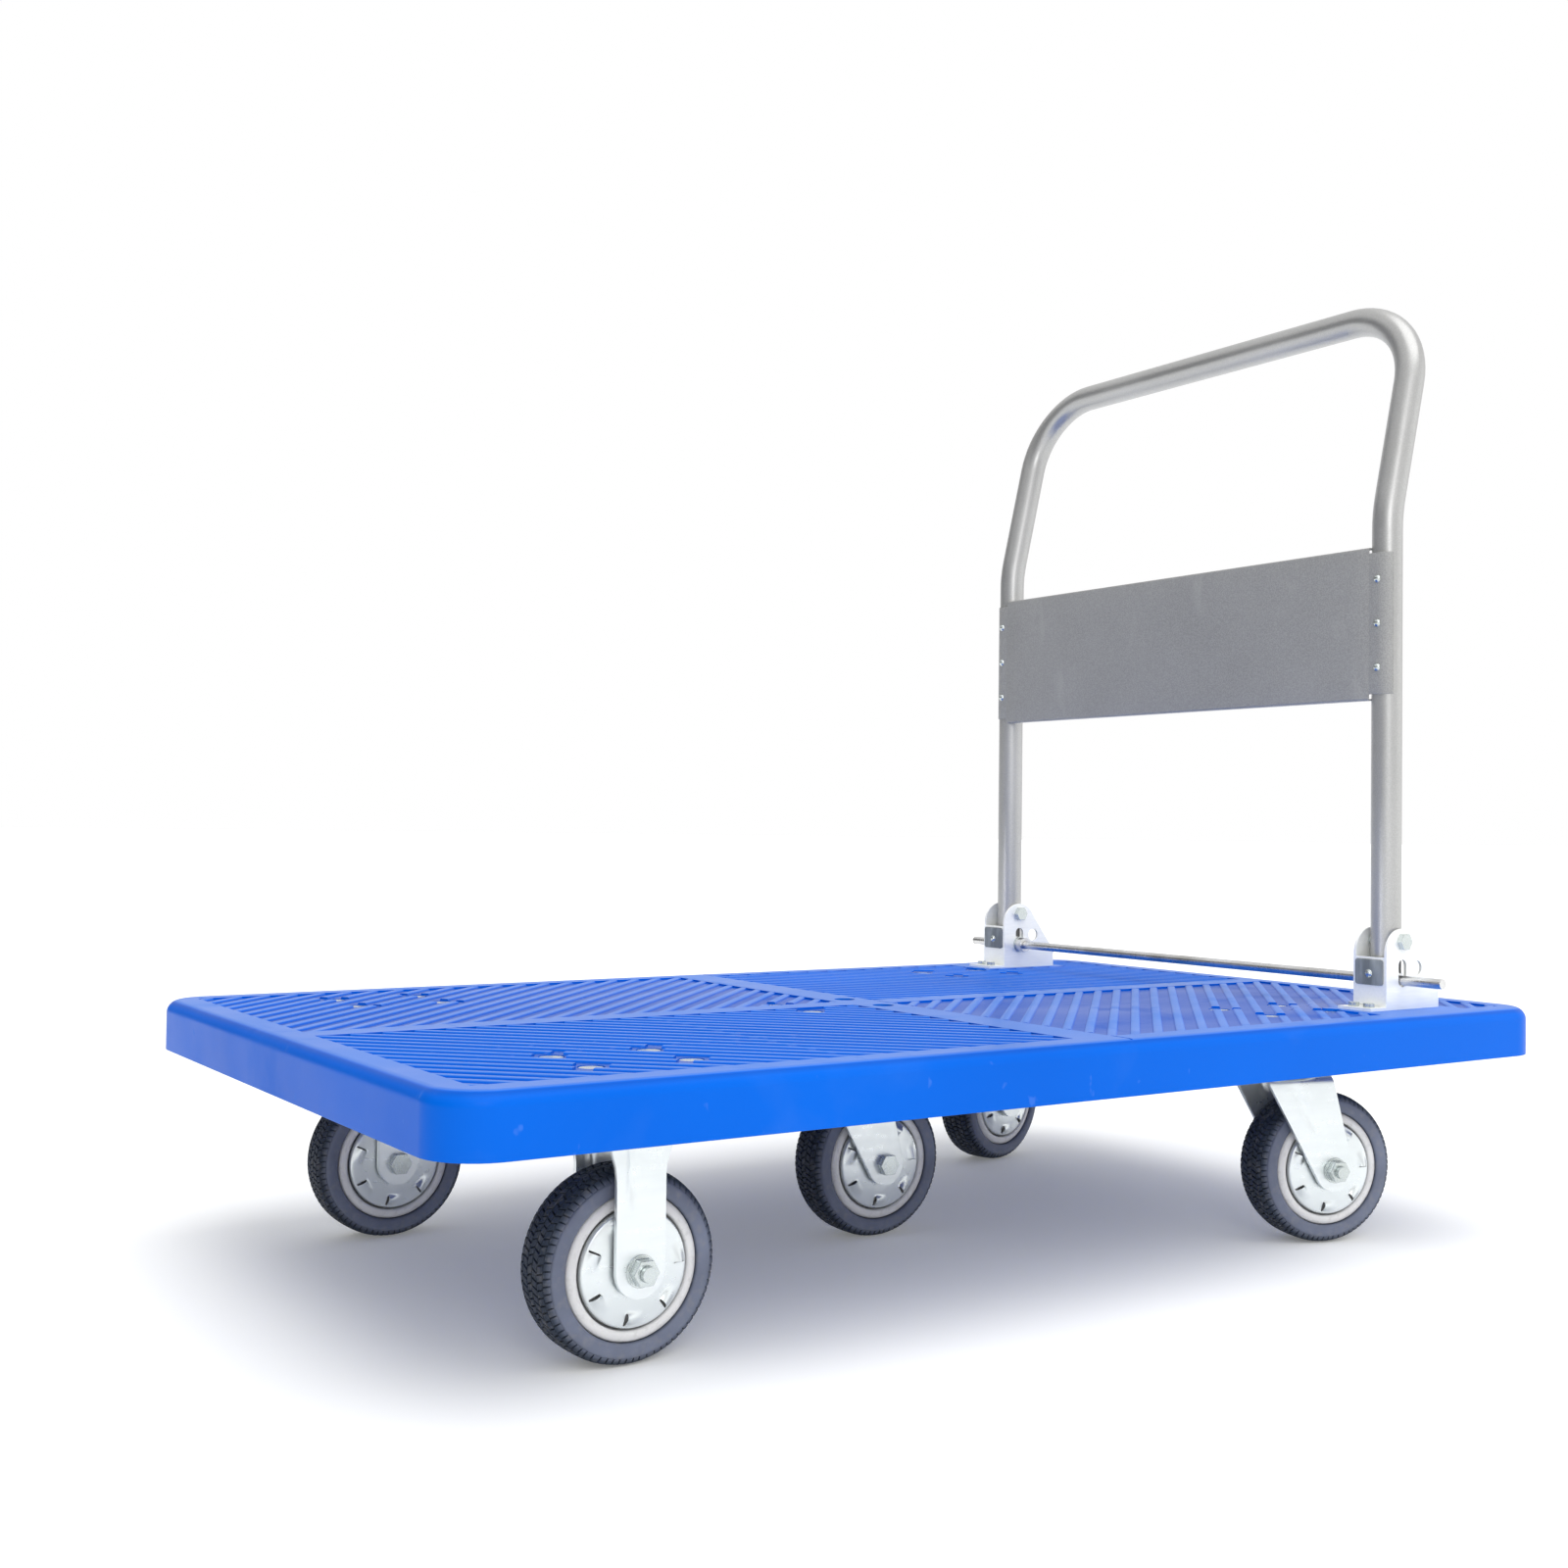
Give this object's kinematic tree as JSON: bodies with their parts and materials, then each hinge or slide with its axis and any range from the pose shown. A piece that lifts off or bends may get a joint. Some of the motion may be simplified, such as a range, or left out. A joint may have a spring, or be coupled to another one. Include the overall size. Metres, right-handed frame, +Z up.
{
  "type": "platform truck",
  "caption": "Flatbed hand truck: blue ribbed moulded platform on fixed and swivel casters, with a folding bent-tube handle, sheet panel and a foot rod that locks it.",
  "frame": {"origin": "on the floor under the middle of the platform", "axes": "+Z up, +X along the platform towards the handle, -Y the left side as seen from behind the handle"},
  "size_m": [1.205, 0.726, 0.973],
  "materials": {
    "deck_plastic": "moulded, semi-gloss, fine grain",
    "caster_zinc": "bright zinc plated pressed steel",
    "bracket_zinc": "bright zinc plated sheet steel",
    "fastener_zinc": "zinc plated fasteners",
    "rod_steel": "drawn bright steel",
    "ball_steel": "polished bearing steel",
    "handle_paint": "silver grey powder coat",
    "panel_paint": "grey powder coat",
    "rim_plastic": "light grey moulded rim",
    "tyre_rubber": "blue grey rubber with block tread",
    "stop_rubber": "grey rubber"
  },
  "bodies": {
    "deck": {"deck_platform": "deck_plastic", "caster_bolts": "fastener_zinc", "caster_nuts": "fastener_zinc", "fixed_left_fork": "caster_zinc", "fixed_right_fork": "caster_zinc", "fixed_axle_bolts": "fastener_zinc", "fixed_axle_nuts": "fastener_zinc", "fixed_hub_sleeves": "rod_steel", "kingpins": "fastener_zinc", "race_balls": "ball_steel", "handle_bracket_left": "bracket_zinc", "handle_bracket_right": "bracket_zinc", "bracket_bolts": "fastener_zinc", "handle_pivot_bolts": "fastener_zinc", "handle_pivot_nuts": "fastener_zinc", "stop_pads": "stop_rubber", "swivel_left_plate": "caster_zinc", "swivel_right_plate": "caster_zinc", "swivel_centre_plate": "caster_zinc"},
    "fixed_left_wheel": {"fixed_left_tyre": "tyre_rubber", "fixed_left_rim": "rim_plastic", "fixed_left_covers": "caster_zinc", "fixed_left_bearings": "ball_steel"},
    "fixed_right_wheel": {"fixed_right_tyre": "tyre_rubber", "fixed_right_rim": "rim_plastic", "fixed_right_covers": "caster_zinc", "fixed_right_bearings": "ball_steel"},
    "swivel_left_yoke": {"swivel_left_fork": "caster_zinc", "swivel_left_dust_ring": "caster_zinc", "swivel_left_axle_bolt": "fastener_zinc", "swivel_left_axle_nut": "fastener_zinc", "swivel_left_hub_sleeve": "rod_steel"},
    "swivel_left_wheel": {"swivel_left_tyre": "tyre_rubber", "swivel_left_rim": "rim_plastic", "swivel_left_covers": "caster_zinc", "swivel_left_bearings": "ball_steel"},
    "swivel_right_yoke": {"swivel_right_fork": "caster_zinc", "swivel_right_dust_ring": "caster_zinc", "swivel_right_axle_bolt": "fastener_zinc", "swivel_right_axle_nut": "fastener_zinc", "swivel_right_hub_sleeve": "rod_steel"},
    "swivel_right_wheel": {"swivel_right_tyre": "tyre_rubber", "swivel_right_rim": "rim_plastic", "swivel_right_covers": "caster_zinc", "swivel_right_bearings": "ball_steel"},
    "swivel_centre_yoke": {"swivel_centre_fork": "caster_zinc", "swivel_centre_dust_ring": "caster_zinc", "swivel_centre_axle_bolt": "fastener_zinc", "swivel_centre_axle_nut": "fastener_zinc", "swivel_centre_hub_sleeve": "rod_steel"},
    "swivel_centre_wheel": {"swivel_centre_tyre": "tyre_rubber", "swivel_centre_rim": "rim_plastic", "swivel_centre_covers": "caster_zinc", "swivel_centre_bearings": "ball_steel"},
    "handle": {"handle_tube": "handle_paint", "handle_panel": "panel_paint", "panel_rivets": "fastener_zinc"},
    "locking_rod_set": {"locking_rod": "rod_steel", "rod_collars": "rod_steel", "rod_washers": "fastener_zinc"}
  },
  "joints": [
    {"name": "handle_fold", "type": "hinge", "parent": "deck", "child": "handle", "pos_m": [0.445, 0, 0.3], "axis": [0, -1, 0], "range_deg": [0, 90]},
    {"name": "rod_lift", "type": "slide", "parent": "deck", "child": "locking_rod_set", "axis": [0, 0, 1], "range_m": [0, 0.014]},
    {"name": "fixed_left_roll", "type": "hinge", "parent": "deck", "child": "fixed_left_wheel", "pos_m": [-0.408, -0.243, 0.075], "axis": [0, 1, 0], "continuous": true},
    {"name": "fixed_right_roll", "type": "hinge", "parent": "deck", "child": "fixed_right_wheel", "pos_m": [-0.408, 0.243, 0.075], "axis": [0, 1, 0], "continuous": true},
    {"name": "swivel_left_turn", "type": "hinge", "parent": "deck", "child": "swivel_left_yoke", "pos_m": [0.335, -0.24, 0.17], "axis": [0, 0, 1], "continuous": true},
    {"name": "swivel_left_roll", "type": "hinge", "parent": "swivel_left_yoke", "child": "swivel_left_wheel", "pos_m": [0.37995, -0.25374, 0.075], "axis": [0.2924, 0.9563, 0], "continuous": true},
    {"name": "swivel_right_turn", "type": "hinge", "parent": "deck", "child": "swivel_right_yoke", "pos_m": [0.335, 0.24, 0.17], "axis": [0, 0, 1], "continuous": true},
    {"name": "swivel_right_roll", "type": "hinge", "parent": "swivel_right_yoke", "child": "swivel_right_wheel", "pos_m": [0.38097, 0.24977, 0.075], "axis": [-0.2079, 0.9781, 0], "continuous": true},
    {"name": "swivel_centre_turn", "type": "hinge", "parent": "deck", "child": "swivel_centre_yoke", "pos_m": [-0.042, 0, 0.17], "axis": [0, 0, 1], "continuous": true},
    {"name": "swivel_centre_roll", "type": "hinge", "parent": "swivel_centre_yoke", "child": "swivel_centre_wheel", "pos_m": [0.00494, -0.00246, 0.075], "axis": [0.0523, 0.9986, 0], "continuous": true}
  ]
}
